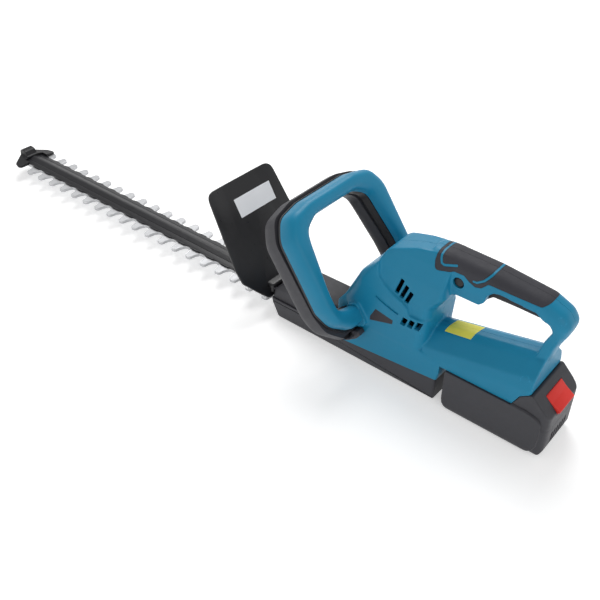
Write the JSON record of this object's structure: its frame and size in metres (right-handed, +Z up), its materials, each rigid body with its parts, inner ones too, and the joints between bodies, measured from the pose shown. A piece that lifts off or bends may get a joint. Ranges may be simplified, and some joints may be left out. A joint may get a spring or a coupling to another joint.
{
  "type": "cordless hedge trimmer",
  "caption": "Cordless hedge trimmer with double-sided toothed blades, hand guard, front loop handle with switch bar, rear trigger handle and a slide-off battery pack.",
  "frame": {"origin": "where the crank's axis meets the plane that the gear cover and the battery pack rest on", "axes": "+X points forward to the blade tip, +Y to the tool's left seen from the rear handle, +Z up"},
  "size_m": [0.9635, 0.176, 0.2015],
  "materials": {
    "teal_shell": "satin moulded plastic",
    "soft_grip": "soft moulded rubber",
    "grey_plastic": "fine moulded texture",
    "black_plastic": "satin moulded plastic",
    "blade_steel": "ground steel",
    "bright_steel": "bright machined steel",
    "dark_steel": "blackened steel",
    "bar_coat": "black semi-gloss coating on steel",
    "copper_windings": "enamelled copper wire on a steel core",
    "red_plastic": "satin moulded plastic",
    "circuit_board": "lacquered board"
  },
  "bodies": {
    "tool_body": {"housing_left": "teal_shell", "housing_right": "teal_shell", "grip_left": "soft_grip", "grip_right": "soft_grip", "housing_screw_1": "dark_steel", "housing_screw_2": "dark_steel", "housing_screw_3": "dark_steel", "housing_screw_4": "dark_steel", "housing_screw_5": "dark_steel", "gear_cover": "grey_plastic", "gear_case": "grey_plastic", "cover_screw_1": "dark_steel", "cover_screw_2": "dark_steel", "cover_screw_3": "dark_steel", "cover_screw_4": "dark_steel", "guide_bar": "bar_coat", "tip_guard": "black_plastic", "tip_screw": "dark_steel", "blade_bolt_1": "dark_steel", "blade_bolt_2": "dark_steel", "blade_bolt_3": "dark_steel", "blade_bolt_4": "dark_steel", "blade_bolt_5": "dark_steel", "frame_bolt_1": "dark_steel", "frame_bolt_2": "dark_steel", "crank_bearing_upper": "bright_steel", "crank_bearing_lower": "bright_steel", "motor_can": "bright_steel", "motor_end_cap": "black_plastic", "motor_magnet": "dark_steel", "trigger_pin": "bright_steel", "rear_switch": "black_plastic", "trigger_spring": "bright_steel", "loop_handle": "teal_shell", "loop_cover": "black_plastic", "front_switch": "black_plastic", "lever_spring_left": "bright_steel", "lever_spring_right": "bright_steel", "lever_screw_left": "dark_steel", "lever_screw_right": "dark_steel", "hand_guard": "black_plastic", "guard_screw_1": "dark_steel", "guard_screw_2": "dark_steel", "terminal_block": "black_plastic", "control_board": "circuit_board"},
    "upper_blade": {"upper_blade": "blade_steel"},
    "lower_blade": {"lower_blade": "blade_steel"},
    "crank": {"crank_gear": "bright_steel"},
    "rotor": {"motor_rotor": "copper_windings", "motor_pinion": "bright_steel", "cooling_fan": "black_plastic"},
    "lever": {"switch_lever": "grey_plastic"},
    "trigger": {"trigger": "black_plastic"},
    "lock_button": {"lock_button": "black_plastic"},
    "battery_pack": {"pack_lower_case": "grey_plastic", "pack_upper_case": "grey_plastic", "cell_row_lower": "bright_steel", "cell_row_upper": "bright_steel"},
    "release_button": {"release_button": "red_plastic"}
  },
  "joints": [
    {"name": "crank_turn", "type": "hinge", "parent": "tool_body", "child": "crank", "pos_m": [0, 0, 0], "axis": [0, 0, 1], "range_deg": [-90, 90]},
    {"name": "upper_blade_slide", "type": "slide", "parent": "tool_body", "child": "upper_blade", "axis": [1, 0, 0], "range_m": [-0.0072, 0.0072]},
    {"name": "lower_blade_slide", "type": "slide", "parent": "tool_body", "child": "lower_blade", "axis": [1, 0, 0], "range_m": [-0.0072, 0.0072]},
    {"name": "rotor_turn", "type": "hinge", "parent": "tool_body", "child": "rotor", "pos_m": [-0.0285, 0, 0], "axis": [0, 0, 1], "range_deg": [-338, 338]},
    {"name": "lever_squeeze", "type": "hinge", "parent": "tool_body", "child": "lever", "pos_m": [-0.00979, 0, 0.04936], "axis": [0, 1, 0], "range_deg": [-1.4, 0], "stiffness_Nm_per_rad": 8, "springref_deg": 2.86, "deforming": ["lever_spring_left", "lever_spring_right"]},
    {"name": "trigger_pull", "type": "hinge", "parent": "tool_body", "child": "trigger", "pos_m": [-0.112, 0, 0.154], "axis": [0, 1, 0], "range_deg": [0, 3.4], "stiffness_Nm_per_rad": 1.5, "springref_deg": -4.58, "deforming": ["trigger_spring"]},
    {"name": "lock_press", "type": "slide", "parent": "tool_body", "child": "lock_button", "axis": [0, -1, 0], "range_m": [0, 0.004], "stiffness_N_per_m": 300, "springref_m": -0.002},
    {"name": "pack_slide", "type": "slide", "parent": "tool_body", "child": "battery_pack", "axis": [-1, 0, 0], "range_m": [0, 0.08]},
    {"name": "release_press", "type": "slide", "parent": "battery_pack", "child": "release_button", "axis": [-0.723, 0, -0.6909], "range_m": [0, 0.0035], "stiffness_N_per_m": 300, "springref_m": -0.002}
  ],
  "couplings": [
    {"joint": "lower_blade_slide", "follows": "upper_blade_slide", "ratio": -1},
    {"joint": "crank_turn", "follows": "upper_blade_slide", "rad_per_m": -218.1},
    {"joint": "rotor_turn", "follows": "upper_blade_slide", "rad_per_m": 817.88}
  ]
}
